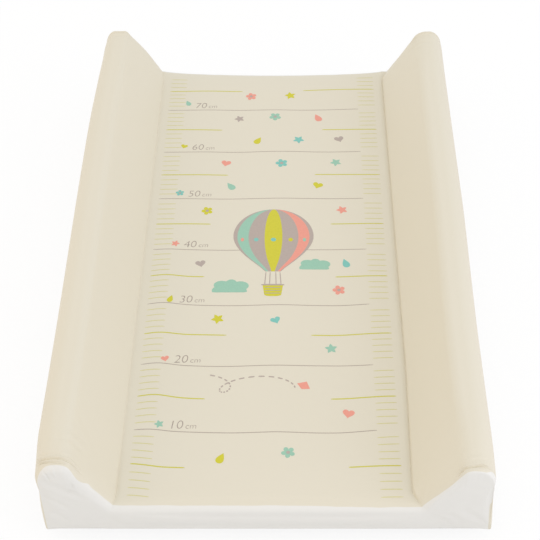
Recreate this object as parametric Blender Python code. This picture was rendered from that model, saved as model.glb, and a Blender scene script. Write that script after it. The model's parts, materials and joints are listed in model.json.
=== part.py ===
"""Hard changing pad: a board and shaped foam under one sheet of wrapped film, on two battens.

Metres, +Z up. The origin is on the floor under the middle of the pad. The pad's length runs along Y,
its two raised foam sides run beside it, and the end nearest the parent faces -Y.
"""

import math

import bmesh
import bpy
from mathutils import Matrix, Vector

# Whole pad, over the film
PAD_LENGTH = 0.800
PAD_WIDTH = 0.500
END_RADIUS = 0.009
END_STEPS = 3

# Layers, counted from the floor up
BATTEN_HEIGHT = 0.015
CLOTH_THICKNESS = 0.0008
FILM_THICKNESS = 0.001
BOARD_THICKNESS = 0.006
FOAM_THICKNESS = 0.030
GAP = 0.0003

# Raised foam sides
BOLSTER_WIDTH = 0.085
BOLSTER_RISE = 0.074
WALL_BULGE = 0.003
CREST_OUTER_REACH = 0.022
CREST_OUTER_DROP = 0.027
CREST_FLAT = 0.008
CREST_INNER_RADIUS = 0.014
CREST_END_DROOP = 0.006

# Flat middle between them
SLAB_CROWN = 0.002
SLAB_END_DROOP = 0.005
END_DROOP_LENGTH = 0.055

# Film turned under the board, and the cloth over its hem
HEM_WIDTH = 0.035
CLOTH_MARGIN = 0.008
RAIL_REST_CLEARANCE = 0.002

# Battens under the board
BATTEN_WIDTH = 0.020
BATTEN_CHAMFER = 0.002
RAIL_OVERHANG = 0.110
BATTEN_STAPLE_CLEARANCE = 0.009

# Countersunk wood screws
SCREW_LENGTH = 0.020
SCREW_SHANK_RADIUS = 0.0015
SCREW_HEAD_RADIUS = 0.003
SCREW_HEAD_RIM = 0.0004
SCREW_TIP = 0.004
SCREW_RECESS = 0.001
SCREW_END_MARGIN = 0.040
SCREWS_PER_BATTEN = 3
SCREW_SIDES = 12

# Staples round the hem
STAPLE_CROWN = 0.011
STAPLE_LEG = 0.006
STAPLE_WIRE = 0.0006
STAPLE_WIRE_WIDTH = 0.001
STAPLE_INSET = 0.018
STAPLE_SPACING = 0.125

# Length that a cutter runs past what it cuts
OVERRUN = 0.002

# Where the section has its points, as shares of the stretch that they divide
WALL_SHARES = (0.0, 0.35, 0.7)
SLOPE_SHARES = (0.4, 0.75)
SLAB_SHARES = (0.85, 0.45)
DROOP_SHARES = (0.5, 1.0)
OUTER_ARC_STEPS = 4
INNER_ARC_STEPS = 2

# Places worked out from the sizes above
half_length = PAD_LENGTH / 2
half_width = PAD_WIDTH / 2
base_half = half_width - WALL_BULGE
valley = half_width - BOLSTER_WIDTH
cloth_bottom = BATTEN_HEIGHT + GAP
pad_bottom = cloth_bottom + CLOTH_THICKNESS + GAP
board_bottom = pad_bottom + FILM_THICKNESS + GAP
board_top = board_bottom + BOARD_THICKNESS
foam_bottom = board_top + GAP
slab_top = foam_bottom + FOAM_THICKNESS + GAP + FILM_THICKNESS
crest_top = slab_top + BOLSTER_RISE
end_radius = min(END_RADIUS, 0.8 * CREST_INNER_RADIUS)
batten_half = base_half - STAPLE_INSET - BATTEN_STAPLE_CLEARANCE
batten_y = half_length - RAIL_OVERHANG - BATTEN_WIDTH / 2
rest_margin = STAPLE_INSET + STAPLE_WIRE_WIDTH / 2 + RAIL_REST_CLEARANCE


def clear_scene():
    for obj in list(bpy.data.objects):
        bpy.data.objects.remove(obj)


def material(name, colour, roughness, metallic=0.0):
    made = bpy.data.materials.new(name)
    made.use_nodes = True
    shader = made.node_tree.nodes["Principled BSDF"]
    shader.inputs["Base Color"].default_value = (*colour, 1.0)
    shader.inputs["Roughness"].default_value = roughness
    shader.inputs["Metallic"].default_value = metallic
    return made


def add_object(name, bm, finish=None):
    """Turns a bmesh into a named object, smooth apart from its sharp edges."""
    bmesh.ops.recalc_face_normals(bm, faces=bm.faces)
    mesh = bpy.data.meshes.new(name)
    bm.to_mesh(mesh)
    bm.free()
    mesh.shade_smooth()
    mesh.set_sharp_from_angle(angle=math.radians(35))
    obj = bpy.data.objects.new(name, mesh)
    bpy.context.collection.objects.link(obj)
    if finish:
        mesh.materials.append(finish)
    return obj


def add_copies(name, bm, finish, places):
    """Makes one object for each place, numbered from 1, all sharing one mesh."""
    first = add_object(name + "_01", bm, finish)
    first.matrix_world = places[0]
    for number, place in enumerate(places[1:], start=2):
        copy = bpy.data.objects.new("%s_%02d" % (name, number), first.data)
        bpy.context.collection.objects.link(copy)
        copy.matrix_world = place


def add_cutter(name, bm):
    cutter = add_object(name, bm)
    cutter.hide_render = True
    cutter.display_type = "WIRE"
    return cutter


def cut(obj, cutter):
    modifier = obj.modifiers.new("Cut by " + cutter.name, "BOOLEAN")
    modifier.operation = "DIFFERENCE"
    modifier.solver = "EXACT"
    modifier.object = cutter


def box(bm, low, high):
    """Adds a box between two opposite corners."""
    low, high = Vector(low), Vector(high)
    place = Matrix.Translation((low + high) / 2) @ Matrix.Diagonal((*(high - low), 1.0))
    return bmesh.ops.create_cube(bm, size=1.0, matrix=place)["verts"]


def arc(centre, radii, start, end, steps):
    """Points of an elliptical arc in the section's plane, both ends included; angles in radians from +X."""
    points = []
    for step in range(steps + 1):
        turn = start + (end - start) * step / steps
        offset = Vector((radii[0] * math.cos(turn), radii[1] * math.sin(turn)))
        points.append(Vector(centre) + offset)
    return points


def half_section():
    """Right half of the pad's section over the film, from the corner at the board up, over and in."""
    wall_top = Vector((half_width, crest_top - CREST_OUTER_DROP))
    points = []
    for share in WALL_SHARES:
        x = base_half + WALL_BULGE * math.sin(share * math.pi / 2)
        points.append(Vector((x, pad_bottom + (wall_top.y - pad_bottom) * share)))
    outer_centre = (half_width - CREST_OUTER_REACH, wall_top.y)
    points += arc(outer_centre, (CREST_OUTER_REACH, CREST_OUTER_DROP), 0, math.pi / 2, OUTER_ARC_STEPS)

    foot = Vector((valley, slab_top))
    inner_centre = Vector((outer_centre[0] - CREST_FLAT, crest_top - CREST_INNER_RADIUS))
    reach = inner_centre - foot
    slope = math.atan2(reach.y, reach.x) + math.asin(CREST_INNER_RADIUS / reach.length)
    radii = (CREST_INNER_RADIUS, CREST_INNER_RADIUS)
    points += arc(inner_centre, radii, math.pi / 2, slope + math.pi / 2, INNER_ARC_STEPS)

    slope_top = points[-1]
    points += [slope_top.lerp(foot, share) for share in SLOPE_SHARES]
    points.append(foot)
    points += [Vector((valley * share, slab_top)) for share in SLAB_SHARES]
    return points


def full_section():
    right = half_section()
    left = [Vector((-point.x, point.y)) for point in reversed(right)]
    return right + [Vector((0, slab_top))] + left


def inset_section(points, depth):
    """Moves every side of a closed section inwards by depth, with mitred corners."""
    moved = []
    for index, point in enumerate(points):
        before = (point - points[index - 1]).normalized()
        after = (points[(index + 1) % len(points)] - point).normalized()
        inward_before = Vector((-before.y, before.x))
        inward_after = Vector((-after.y, after.x))
        mitre = (inward_before + inward_after).normalized()
        moved.append(point + mitre * depth / mitre.dot(inward_after))
    return moved


def settled_height(x, y, z):
    """Height of a point of the top once the middle is crowned and both ends droop under the pulled film."""
    past = max(0, abs(y) - (half_length - END_DROOP_LENGTH - end_radius))
    droop = min(1, past / END_DROOP_LENGTH) ** 2
    if abs(x) < valley:
        across = 1 - (x / valley) ** 2
        along = 1 - (y / half_length) ** 2
        return z + across * (SLAB_CROWN * along - SLAB_END_DROOP * droop)
    climb = max(0, (z - slab_top) / BOLSTER_RISE)
    return z - CREST_END_DROOP * climb * droop


def section_at(y, inset, extra):
    """Points of the section at y, set in by inset on every side and by extra on all but the underside."""
    floor = pad_bottom + inset
    outline = inset_section(full_section(), inset + extra)
    last = len(outline) - 1
    points = []
    for index, point in enumerate(outline):
        if index in (0, last):
            points.append(Vector((point.x, y, floor)))
        else:
            points.append(Vector((point.x, y, settled_height(point.x, y, point.y))))
    return points


def stations(inset):
    """(y, extra inset) from one end of the pad to the other: the rounded end, the droop, the middle."""
    radius = end_radius - inset
    near = []
    for step in range(END_STEPS + 1):
        turn = math.pi / 2 * step / END_STEPS
        back = inset + radius * (1 - math.cos(turn))
        near.append((half_length - back, radius * (1 - math.sin(turn))))
    for share in DROOP_SHARES:
        near.append((half_length - end_radius - END_DROOP_LENGTH * share, 0.0))
    far = [(-y, extra) for y, extra in near]
    return far + [(0.0, 0.0)] + near[::-1]


def pad_form(inset):
    """Closed form of the whole pad, set in by inset: the section swept from end to end by extrusion."""
    bm = bmesh.new()
    first, *others = stations(inset)
    ring = [bm.verts.new(point) for point in section_at(first[0], inset, first[1])]
    face = end_face = bm.faces.new(ring)
    for y, extra in others:
        grown = bmesh.ops.extrude_face_region(bm, geom=[face])["geom"]
        if face is not end_face:
            bmesh.ops.delete(bm, geom=[face], context="FACES_ONLY")
        face = next(item for item in grown if isinstance(item, bmesh.types.BMFace))
        for vert, point in zip(face.verts, section_at(y, inset, extra)):
            vert.co = point
    return bm


def trim(bm, point, normal):
    """Cuts away what lies on the side of a plane that its normal points to, and closes the cut."""
    geometry = bm.verts[:] + bm.edges[:] + bm.faces[:]
    found = bmesh.ops.bisect_plane(
        bm, geom=geometry, plane_co=point, plane_no=normal, clear_outer=True
    )
    edges = [item for item in found["geom_cut"] if isinstance(item, bmesh.types.BMEdge)]
    bmesh.ops.holes_fill(bm, edges=edges)
    return bm


def split(bm, point, normal):
    """Adds edges where a plane crosses the mesh, and cuts nothing away."""
    bmesh.ops.bisect_plane(bm, geom=bm.verts[:] + bm.edges[:] + bm.faces[:], plane_co=point, plane_no=normal)


def foam_valley(inset):
    """X of the line where the foam's flat top meets its slope, under the film's crease."""
    outline = inset_section(full_section(), inset)
    return outline[half_section().index(Vector((valley, slab_top)))].x


def staple_places():
    """Matrices that put a staple made at the origin, its crown along X, round the hem."""
    side_x = base_half - STAPLE_INSET
    end_y = half_length - STAPLE_INSET
    side_count = max(2, round(2 * end_y / STAPLE_SPACING))
    end_count = max(2, round(2 * side_x / STAPLE_SPACING))
    turned = Matrix.Rotation(math.pi / 2, 4, "Z")
    places = []
    for sign in (-1, 1):
        for index in range(side_count):
            y = end_y * (2 * index + 1 - side_count) / side_count
            places.append(Matrix.Translation((sign * side_x, y, 0)) @ turned)
        for index in range(end_count):
            x = side_x * (2 * index + 1 - end_count) / end_count
            places.append(Matrix.Translation((x, sign * end_y, 0)))
    return places


def staple():
    """One staple at its height: a flat crown under the cloth, and two legs up through cloth, hem and board."""
    bm = bmesh.new()
    half_crown = STAPLE_CROWN / 2
    top = cloth_bottom - GAP
    low = top - STAPLE_WIRE
    tip = top + STAPLE_LEG
    inner = half_crown - STAPLE_WIRE
    outline = [
        (-half_crown, low), (half_crown, low), (half_crown, tip), (inner, tip),
        (inner, top), (-inner, top), (-inner, tip), (-half_crown, tip),
    ]
    face = bm.faces.new([bm.verts.new((x, -STAPLE_WIRE_WIDTH / 2, z)) for x, z in outline])
    grown = bmesh.ops.extrude_face_region(bm, geom=[face])["geom"]
    moved = [item for item in grown if isinstance(item, bmesh.types.BMVert)]
    bmesh.ops.translate(bm, verts=moved, vec=(0, STAPLE_WIRE_WIDTH, 0))
    return bm


def staple_holes(places):
    """The two leg holes of every staple, as one cutter."""
    bm = bmesh.new()
    low = cloth_bottom - OVERRUN
    high = cloth_bottom - GAP + STAPLE_LEG + GAP
    half_deep = STAPLE_WIRE_WIDTH / 2 + GAP
    half_wide = STAPLE_WIRE / 2 + GAP
    for place in places:
        for sign in (-1, 1):
            middle = sign * (STAPLE_CROWN - STAPLE_WIRE) / 2
            verts = box(bm, (middle - half_wide, -half_deep, low), (middle + half_wide, half_deep, high))
            bmesh.ops.transform(bm, matrix=place, verts=verts)
    return bm


def screw_places():
    """Matrices that put a screw made at the origin in each batten's holes."""
    reach = batten_half - SCREW_END_MARGIN
    places = []
    for y in (-batten_y, batten_y):
        for index in range(SCREWS_PER_BATTEN):
            x = reach * (2 * index / (SCREWS_PER_BATTEN - 1) - 1)
            places.append(Matrix.Translation((x, y, 0)))
    return places


def add_screw(bm, place, clearance=0.0, below=0.0):
    """Adds one screw, head down and tip up, or with a clearance and a longer head the hole that it needs."""
    neck = SCREW_RECESS + SCREW_HEAD_RIM
    tip = SCREW_RECESS + SCREW_LENGTH + clearance
    profile = [
        (0, SCREW_RECESS - below),
        (SCREW_HEAD_RADIUS + clearance, SCREW_RECESS - below),
        (SCREW_HEAD_RADIUS + clearance, neck),
        (SCREW_SHANK_RADIUS + clearance, neck + SCREW_HEAD_RADIUS - SCREW_SHANK_RADIUS),
        (SCREW_SHANK_RADIUS + clearance, tip - SCREW_TIP),
        (0, tip),
    ]
    verts = [bm.verts.new(place @ Vector((radius, 0, z))) for radius, z in profile]
    edges = [bm.edges.new(pair) for pair in zip(verts, verts[1:])]
    bmesh.ops.spin(
        bm, geom=verts + edges, cent=place.translation, axis=(0, 0, 1),
        angle=2 * math.pi, steps=SCREW_SIDES, use_merge=True,
    )


def screw():
    bm = bmesh.new()
    add_screw(bm, Matrix())
    bmesh.ops.remove_doubles(bm, verts=bm.verts, dist=GAP / 10)
    return bm


def screw_holes(places):
    bm = bmesh.new()
    for place in places:
        add_screw(bm, place, GAP, SCREW_RECESS + OVERRUN)
    bmesh.ops.remove_doubles(bm, verts=bm.verts, dist=GAP / 10)
    return bm


def add_batten(name, y, finish, screw_cutter):
    bm = bmesh.new()
    half = BATTEN_WIDTH / 2
    box(bm, (-batten_half, y - half, 0), (batten_half, y + half, BATTEN_HEIGHT))
    lower = [edge for edge in bm.edges if all(vert.co.z < BATTEN_HEIGHT / 2 for vert in edge.verts)]
    bmesh.ops.bevel(
        bm, geom=lower, offset=BATTEN_CHAMFER, segments=2, profile=0.5, affect="EDGES", material=-1
    )
    batten = add_object(name, bm, finish)
    cut(batten, screw_cutter)
    return batten


def backing_form():
    """The cloth, with a clear flat face between batten and staples at each end, where a cot's rail lies."""
    bm = bmesh.new()
    reach_x = base_half - CLOTH_MARGIN
    reach_y = half_length - CLOTH_MARGIN
    box(bm, (-reach_x, -reach_y, cloth_bottom), (reach_x, reach_y, cloth_bottom + CLOTH_THICKNESS))
    for sign in (-1, 1):
        split(bm, (sign * (base_half - rest_margin), 0, 0), (1, 0, 0))
        split(bm, (0, sign * (half_length - rest_margin), 0), (0, 1, 0))
        split(bm, (0, sign * (batten_y + BATTEN_WIDTH / 2 + RAIL_REST_CLEARANCE), 0), (0, 1, 0))
    return bm


def build():
    clear_scene()
    film = material("Cream PVC film", (0.78, 0.72, 0.60), 0.42)
    foam = material("Cut foam", (0.80, 0.74, 0.52), 0.95)
    fibreboard = material("Fibreboard", (0.30, 0.20, 0.12), 0.8)
    cloth = material("Non-woven cloth", (0.70, 0.70, 0.68), 0.95)
    pine = material("Pine", (0.66, 0.47, 0.26), 0.6)
    steel = material("Zinc-plated steel", (0.62, 0.63, 0.64), 0.35, 1.0)

    staple_cutter = add_cutter("Staple holes", staple_holes(staple_places()))
    screw_cutter = add_cutter("Screw holes", screw_holes(screw_places()))

    under_film = FILM_THICKNESS + GAP
    up, down = Vector((0, 0, 1)), Vector((0, 0, -1))
    right, left = Vector((1, 0, 0)), Vector((-1, 0, 0))

    board = add_object("base_board", trim(pad_form(under_film), (0, 0, board_top), up), fibreboard)
    cut(board, staple_cutter)
    cut(board, screw_cutter)

    foam_split = foam_valley(under_film)
    centre = trim(pad_form(under_film), (0, 0, foam_bottom), down)
    trim(centre, (foam_split - GAP, 0, 0), right)
    trim(centre, (GAP - foam_split, 0, 0), left)
    add_object("centre_foam", centre, foam)
    for name, side, outward in (("left_bolster_foam", -1, right), ("right_bolster_foam", 1, left)):
        bolster = trim(pad_form(under_film), (0, 0, foam_bottom), down)
        trim(bolster, (side * foam_split, 0, 0), outward)
        add_object(name, bolster, foam)

    cover = add_object("cover_film", pad_form(0.0), film)
    cut(cover, add_cutter("Inside of the film", pad_form(FILM_THICKNESS)))
    opening = bmesh.new()
    reach_x = base_half - HEM_WIDTH
    reach_y = half_length - HEM_WIDTH
    low = (-reach_x, -reach_y, pad_bottom - OVERRUN)
    box(opening, low, (reach_x, reach_y, pad_bottom + FILM_THICKNESS + OVERRUN))
    cut(cover, add_cutter("Opening inside the hem", opening))
    cut(cover, staple_cutter)

    backing_cloth = add_object("backing_cloth", backing_form(), cloth)
    cut(backing_cloth, staple_cutter)
    cut(backing_cloth, screw_cutter)

    add_batten("front_batten", -batten_y, pine, screw_cutter)
    add_batten("rear_batten", batten_y, pine, screw_cutter)
    add_copies("staple", staple(), steel, staple_places())
    add_copies("batten_screw", screw(), steel, screw_places())


build()
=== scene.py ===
"""Look of a hard changing pad: printed film wrapped over foam, on a board with two battens.

Metres, +Z up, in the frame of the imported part. The pad's length runs along Y and its near end faces -Y.
"""

import json
import math
from collections import namedtuple

import bmesh
import bpy
from bpy.props import FloatProperty, FloatVectorProperty, IntProperty, PointerProperty
from mathutils import Matrix, Vector, noise
from mathutils.bvhtree import BVHTree

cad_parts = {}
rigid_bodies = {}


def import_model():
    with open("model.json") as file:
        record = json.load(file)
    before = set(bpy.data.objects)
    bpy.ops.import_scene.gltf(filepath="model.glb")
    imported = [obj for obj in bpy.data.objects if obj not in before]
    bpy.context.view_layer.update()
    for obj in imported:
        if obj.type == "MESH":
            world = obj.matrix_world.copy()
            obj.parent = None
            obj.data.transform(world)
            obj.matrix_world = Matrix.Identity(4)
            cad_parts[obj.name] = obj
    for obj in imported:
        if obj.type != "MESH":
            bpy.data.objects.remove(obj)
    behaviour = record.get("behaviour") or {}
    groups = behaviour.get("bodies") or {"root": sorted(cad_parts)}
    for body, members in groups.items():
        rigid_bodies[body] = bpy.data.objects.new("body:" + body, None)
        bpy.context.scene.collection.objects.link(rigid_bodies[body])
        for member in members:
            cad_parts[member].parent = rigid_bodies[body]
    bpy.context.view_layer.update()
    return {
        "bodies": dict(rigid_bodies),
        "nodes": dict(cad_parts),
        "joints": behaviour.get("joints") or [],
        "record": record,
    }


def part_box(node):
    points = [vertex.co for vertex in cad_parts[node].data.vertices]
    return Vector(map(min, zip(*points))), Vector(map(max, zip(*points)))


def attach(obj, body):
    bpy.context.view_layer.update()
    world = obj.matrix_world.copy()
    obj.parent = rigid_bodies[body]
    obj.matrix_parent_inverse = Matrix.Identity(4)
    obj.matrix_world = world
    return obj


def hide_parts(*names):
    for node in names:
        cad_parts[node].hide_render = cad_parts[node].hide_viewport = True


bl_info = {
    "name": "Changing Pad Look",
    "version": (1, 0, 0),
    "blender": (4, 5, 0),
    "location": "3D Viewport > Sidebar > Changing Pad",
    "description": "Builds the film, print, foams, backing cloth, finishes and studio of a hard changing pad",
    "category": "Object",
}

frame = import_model()

film_low, film_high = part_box("cover_film")
board_low, board_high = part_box("base_board")
foam_low, foam_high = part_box("centre_foam")
cloth_low, cloth_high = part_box("backing_cloth")

# Steps along each stretch of half the section, from the base corner to the middle
WALL_STEPS = 16
OUTER_ARC_STEPS = 18
CREST_STEPS = 5
INNER_ARC_STEPS = 9
SLOPE_STEPS = 26
SLAB_STEPS = 24
CREASE_COLUMN = WALL_STEPS + OUTER_ARC_STEPS + CREST_STEPS + INNER_ARC_STEPS + SLOPE_STEPS

# Steps along the pad's length, and the length of the finely divided zone at each end
FACE_STEPS = 26
ROUND_STEPS = 12
END_STEPS = 44
MIDDLE_STEPS = 44
END_ZONE = 0.096

# Powers that crowd the steps towards the base corner, towards the crease from both sides and towards the
# ends
WALL_CROWDING = 1.4
SLOPE_CROWDING = 1.35
SLAB_CROWDING = 1.5
END_CROWDING = 1.5

# Steps of the foams round each end's edge and between the ends
FOAM_ROUND_STEPS = 3
FOAM_STEPS = 48

SIDES = (-1, 1)
NEAR, FAR = -1, 1
LEFT, RIGHT = -1, 1

# Edges that turn by more than this stay sharp
SHARP_ANGLE = math.radians(40)

# How far the film's lower edge turns in round the board
HEM_ROUND = 0.0011

# How hard the film pulls at each corner of the pad: how far it draws the crest and the slab down, the wall
# in, the base out and the crease out, how far the white end reaches round the fold there, and how wide a
# cream strip it leaves beside the wall
CREST_DROOP = {(NEAR, LEFT): 0.0010, (NEAR, RIGHT): 0.0046, (FAR, LEFT): 0.0007, (FAR, RIGHT): 0.0010}
SLAB_DROOP = {NEAR: 0.0005, FAR: 0.0072}
WALL_PINCH = {(NEAR, LEFT): 0.0040, (NEAR, RIGHT): 0.0010, (FAR, LEFT): 0.0, (FAR, RIGHT): 0.0}
BASE_SHIFT = {(NEAR, LEFT): -0.0010, (NEAR, RIGHT): 0.0035, (FAR, LEFT): 0.0, (FAR, RIGHT): 0.0}
CREASE_FLARE = {(NEAR, LEFT): 0.0030, (NEAR, RIGHT): 0.0098, (FAR, LEFT): 0.0036, (FAR, RIGHT): 0.0094}
WHITE_REACH = {(NEAR, LEFT): 0.0105, (NEAR, RIGHT): 0.0050, (FAR, LEFT): 0.0060, (FAR, RIGHT): 0.0060}
LAP_STRIP = {LEFT: 0.0030, RIGHT: 0.0042}

# Lengths from the end over which those pulls die away
PINCH_LENGTH = 0.07
BASE_SHIFT_LENGTH = 0.12
FLARE_LENGTH = 0.026

# White end of the film over the middle: how far it reaches round the fold, how much less it does at the
# right, and its waves up each side: how much, height and width
WHITE_LEVEL = {NEAR: 0.0107, FAR: 0.0085}
WHITE_FALL = {NEAR: 0.0022, FAR: 0.0}
WHITE_WAVES = {LEFT: ((-0.0035, 0.108, 0.010), (0.0020, 0.094, 0.004)), RIGHT: ()}

# Dent that the tight film makes in the near left corner's wall
DENT_HEIGHT = 0.082
DENT_WIDTH = 0.016
DENT_DEPTH = 0.0015
DENT_LENGTH = 0.035

# What comes and goes along the pad: an amount, the stretch of Y over which it comes and the one over which
# it goes. A raised side leans out, the crease lies farther in and the slope swells.
FROM_START = (-2.0, -1.0)
TO_END = (1.0, 2.0)
LEAN = {
    LEFT: (
        (0.0016, (-0.30, 0.0), (0.18, 0.40)), (0.0021, (-0.15, 0.18), (0.20, 0.40)),
        (-0.0014, (0.30, 0.40), TO_END),
    ),
    RIGHT: (
        (0.0008, FROM_START, TO_END), (-0.0034, FROM_START, (-0.22, 0.06)), (0.0004, (0.30, 0.40), TO_END),
    ),
}
CREASE_DRIFT = {LEFT: (), RIGHT: ((0.0012, FROM_START, TO_END), (0.0034, FROM_START, (-0.40, -0.18)))}
SLOPE_SWELL = {LEFT: ((0.0022, (0.33, 0.395), TO_END),), RIGHT: ()}

# Crest of each corner of the pad, next to its plain form: wider flat, larger inner and outer rounding, and
# where towards the end that comes in
CORNER_ZONE = (0.28, 0.39)
CREST_FORM = {
    (NEAR, LEFT): (-0.0025, 0.0, 0.0), (NEAR, RIGHT): (-0.0050, 0.0, 0.0),
    (FAR, LEFT): (0.0055, -0.0085, -0.0068), (FAR, RIGHT): (-0.0046, 0.0080, -0.0030),
}

# Crease between slope and slab: the share of its depth at each side, its width, and how far from each
# end it is fully there
CREASE_SHARE = {LEFT: 0.25, RIGHT: 1.0}
CREASE_WIDTH = 0.0015
CREASE_START = {NEAR: 0.034, FAR: 0.020}

# Rounding round the edge of each end: its depth, and the share of that which the crest and the wall take
END_RADIUS = {NEAR: 0.009, FAR: 0.0055}
CREST_SHARE = {(NEAR, LEFT): 1.0, (NEAR, RIGHT): 0.55, (FAR, LEFT): 0.7, (FAR, RIGHT): 0.9}
WALL_SHARE = {(NEAR, LEFT): 0.22, (NEAR, RIGHT): 0.14, (FAR, LEFT): 0.35, (FAR, RIGHT): 0.35}

# Gathers that cross a raised side near its end: distance along the film from the end's edge at the
# crest, how much farther off they are down the wall and down the slope, width, depth, and the stretch
# of film round the crest that they take, negative towards the wall
GATHERS = {
    (NEAR, LEFT): (
        (0.0186, 0.0090, -0.0030, 0.0013, 0.00145, -0.034, 0.044),
        (0.0138, 0.0080, -0.0010, 0.0011, 0.00125, -0.032, 0.020),
        (0.0245, 0.0050, -0.0020, 0.0020, 0.00055, -0.030, 0.032),
        (0.0470, 0.0060, -0.0030, 0.0030, 0.00055, -0.004, 0.045),
        (0.0600, 0.0040, -0.0020, 0.0036, 0.00040, 0.004, 0.050),
    ),
    (NEAR, RIGHT): (
        (0.0117, 0.0015, -0.0020, 0.0012, 0.00190, -0.024, 0.036),
        (0.0195, 0.0020, -0.0040, 0.0016, 0.00060, -0.020, 0.028),
        (0.0270, 0.0030, -0.0030, 0.0026, 0.00035, -0.016, 0.020),
    ),
    (FAR, LEFT): (
        (0.0110, 0.0030, -0.0010, 0.0013, 0.00090, -0.030, 0.030),
        (0.0190, 0.0040, -0.0020, 0.0020, 0.00055, -0.026, 0.024),
    ),
    (FAR, RIGHT): (
        (0.0115, 0.0020, 0.0, 0.0013, 0.00090, -0.030, 0.032),
        (0.0180, 0.0040, -0.0020, 0.0018, 0.00060, -0.020, 0.034),
        (0.0360, 0.0030, -0.0020, 0.0030, 0.00040, -0.012, 0.040),
    ),
}

# Pleats that run over the end's edge: place round the crest, width, height (negative for a groove), reach
# on top and reach down the end's face
PLEATS = {
    (NEAR, LEFT): (
        (-0.0175, 0.0011, -0.00085, 0.0085, 0.010),
        (-0.0215, 0.0016, 0.00050, 0.0085, 0.012),
        (-0.0135, 0.0015, 0.00045, 0.0080, 0.008),
        (-0.0030, 0.0018, 0.00045, 0.0080, 0.006),
        (0.0400, 0.0020, 0.00090, 0.0105, 0.005),
        (0.0360, 0.0018, -0.00055, 0.0090, 0.007),
    ),
    (NEAR, RIGHT): (
        (-0.0140, 0.0016, -0.00035, 0.0050, 0.009),
    ),
    (FAR, LEFT): (
        (-0.0160, 0.0012, -0.00070, 0.0060, 0.012),
        (0.0080, 0.0016, -0.00050, 0.0060, 0.010),
    ),
    (FAR, RIGHT): (
        (-0.0180, 0.0013, -0.00070, 0.0060, 0.014),
        (-0.0050, 0.0015, 0.00050, 0.0060, 0.010),
    ),
}

# Pull folds on the ends' faces: first point and last point (x and height), width and depth
PULLS = {
    NEAR: (
        ((-0.2440, 0.1090), (-0.1850, 0.0680), 0.0042, 0.00080),
        ((-0.2440, 0.0830), (-0.2080, 0.0520), 0.0036, 0.00060),
        ((-0.2420, 0.0560), (-0.2150, 0.0320), 0.0032, 0.00050),
        ((-0.2300, 0.1010), (-0.1960, 0.0920), 0.0028, 0.00040),
        ((-0.1700, 0.0500), (-0.1430, 0.0180), 0.0050, -0.00060),
        ((0.2120, 0.0560), (0.2400, 0.0300), 0.0045, 0.00055),
        ((0.1960, 0.0500), (0.2180, 0.0260), 0.0036, 0.00045),
        ((0.2050, 0.0950), (0.2440, 0.0880), 0.0040, 0.00025),
        ((0.1720, 0.0500), (0.1500, 0.0200), 0.0050, -0.00050),
    ),
    FAR: (
        ((-0.2440, 0.1050), (-0.1900, 0.0600), 0.0045, 0.00065),
        ((-0.2430, 0.0750), (-0.2050, 0.0380), 0.0040, 0.00055),
        ((0.2430, 0.1100), (0.1880, 0.0720), 0.0045, 0.00070),
        ((0.2440, 0.0800), (0.2000, 0.0450), 0.0040, 0.00050),
        ((0.2420, 0.0520), (0.2160, 0.0280), 0.0035, 0.00045),
    ),
}


def length_setting(name, description, default):
    return FloatProperty(name=name, description=description, default=default, unit="LENGTH")


def colour_setting(name, description, default):
    return FloatVectorProperty(
        name=name, description=description, default=default, size=3, subtype="COLOR", min=0, max=1)


class PadSizes(bpy.types.PropertyGroup):
    half_width: length_setting("Half width", "From the middle to the outer wall", film_high.x)
    half_length: length_setting("Half length", "From the middle to an end", film_high.y)
    bottom: length_setting("Underside", "Height of the film's underside", film_low.z)
    crest_top: length_setting("Crest", "Height of the raised sides", film_high.z)
    slab_top: length_setting("Lying surface", "Height of the flat middle", 0.0553)
    valley: length_setting("Valley", "From the middle to the crease", 0.165)
    wall_bulge: length_setting("Wall bulge", "How far the outer wall leans out", 0.003)
    outer_reach: length_setting("Outer rounding width", "Width of the crest's outer rounding", 0.022)
    outer_drop: length_setting("Outer rounding height", "Height of the crest's outer rounding", 0.027)
    crest_flat: length_setting("Crest flat", "Flat width along the crest", 0.008)
    inner_radius: length_setting("Inner rounding", "Radius from the crest to the slope", 0.014)
    droop_length: length_setting("Droop length", "Length over which the ends sink", 0.055)
    slab_crown: length_setting("Slab crown", "How far the middle swells", 0.002)
    film: length_setting("Film thickness", "Thickness of the film", 0.0005)
    hem: length_setting("Hem width", "Film turned under the board", 0.035)
    foam_inset: length_setting("Foam inset", "From the film's face in to the foam", 0.0022)
    crease_depth: length_setting("Crease depth", "How far the film dips between the foams", 0.0022)


class FilmCloth(bpy.types.PropertyGroup):
    frames: IntProperty(name="Frames", description="Frames that the cloth simulation runs", default=12)
    pressure: FloatProperty(name="Pressure", description="Foam's pressure on the film", default=4.0)
    growth: FloatProperty(
        name="Growth", description="Share by which the loose film at the ends is too long", default=0.010)
    kept: FloatProperty(
        name="Kept share", description="Share of the simulated move that is kept", default=0.35)
    most_out: length_setting("Most outward", "Farthest that the film may swell", 0.0010)
    most_in: length_setting("Most inward", "Farthest that the film may sink", 0.0006)


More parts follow.
